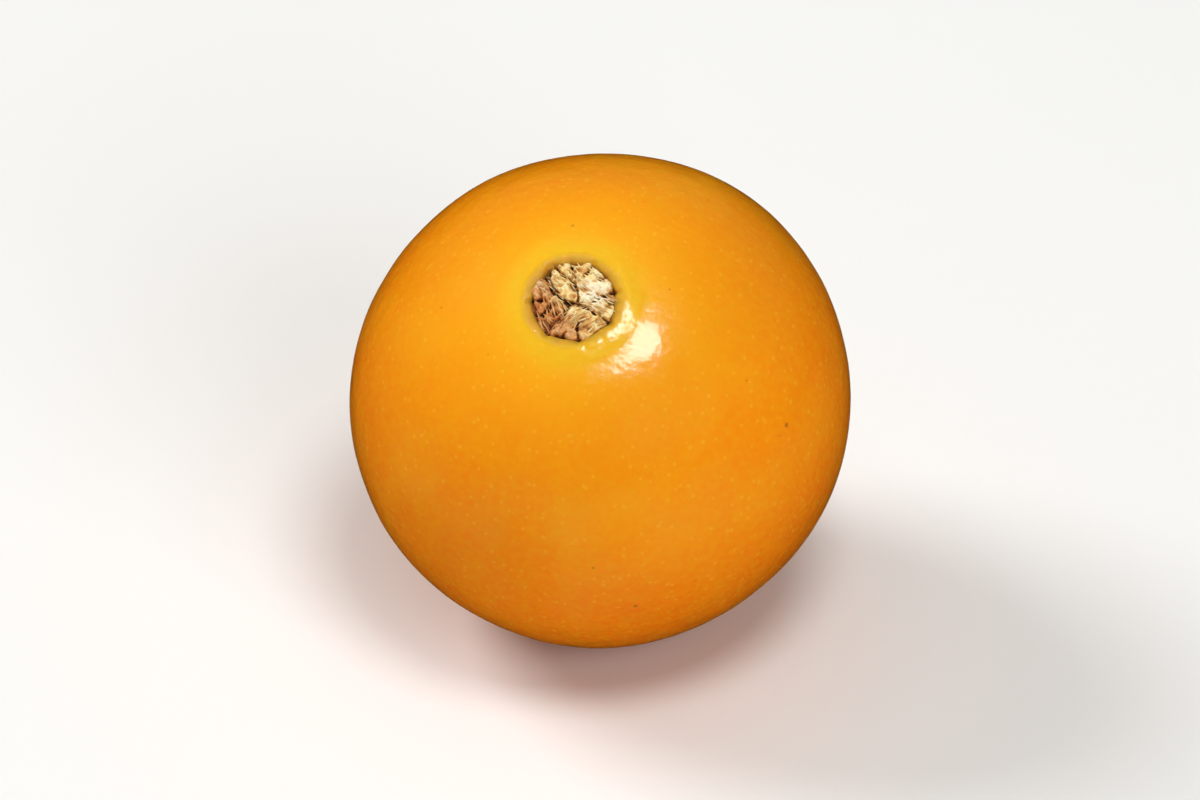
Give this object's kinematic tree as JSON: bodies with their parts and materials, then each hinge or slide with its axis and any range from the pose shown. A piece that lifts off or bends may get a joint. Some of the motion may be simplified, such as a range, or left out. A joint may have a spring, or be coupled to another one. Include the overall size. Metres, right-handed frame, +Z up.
{
  "type": "physalis berry",
  "caption": "Round golden berry bare of its husk, with a corky stem scar and a small flower dot, lying on a small flat spot.",
  "frame": {"origin": "the middle of the small flat spot that the berry lies on", "axes": "+Z straight up from the surface it lies on, -Y towards the front, where the stem scar leans; the stem's own axis leaves the berry 28 degrees from +Z, towards -Y and a little towards -X"},
  "size_m": [0.0211, 0.0206, 0.0201],
  "materials": {
    "berry_skin": "satin",
    "stem_scar": "matte"
  },
  "bodies": {
    "root": {"berry": "berry_skin"}
  },
  "joints": []
}
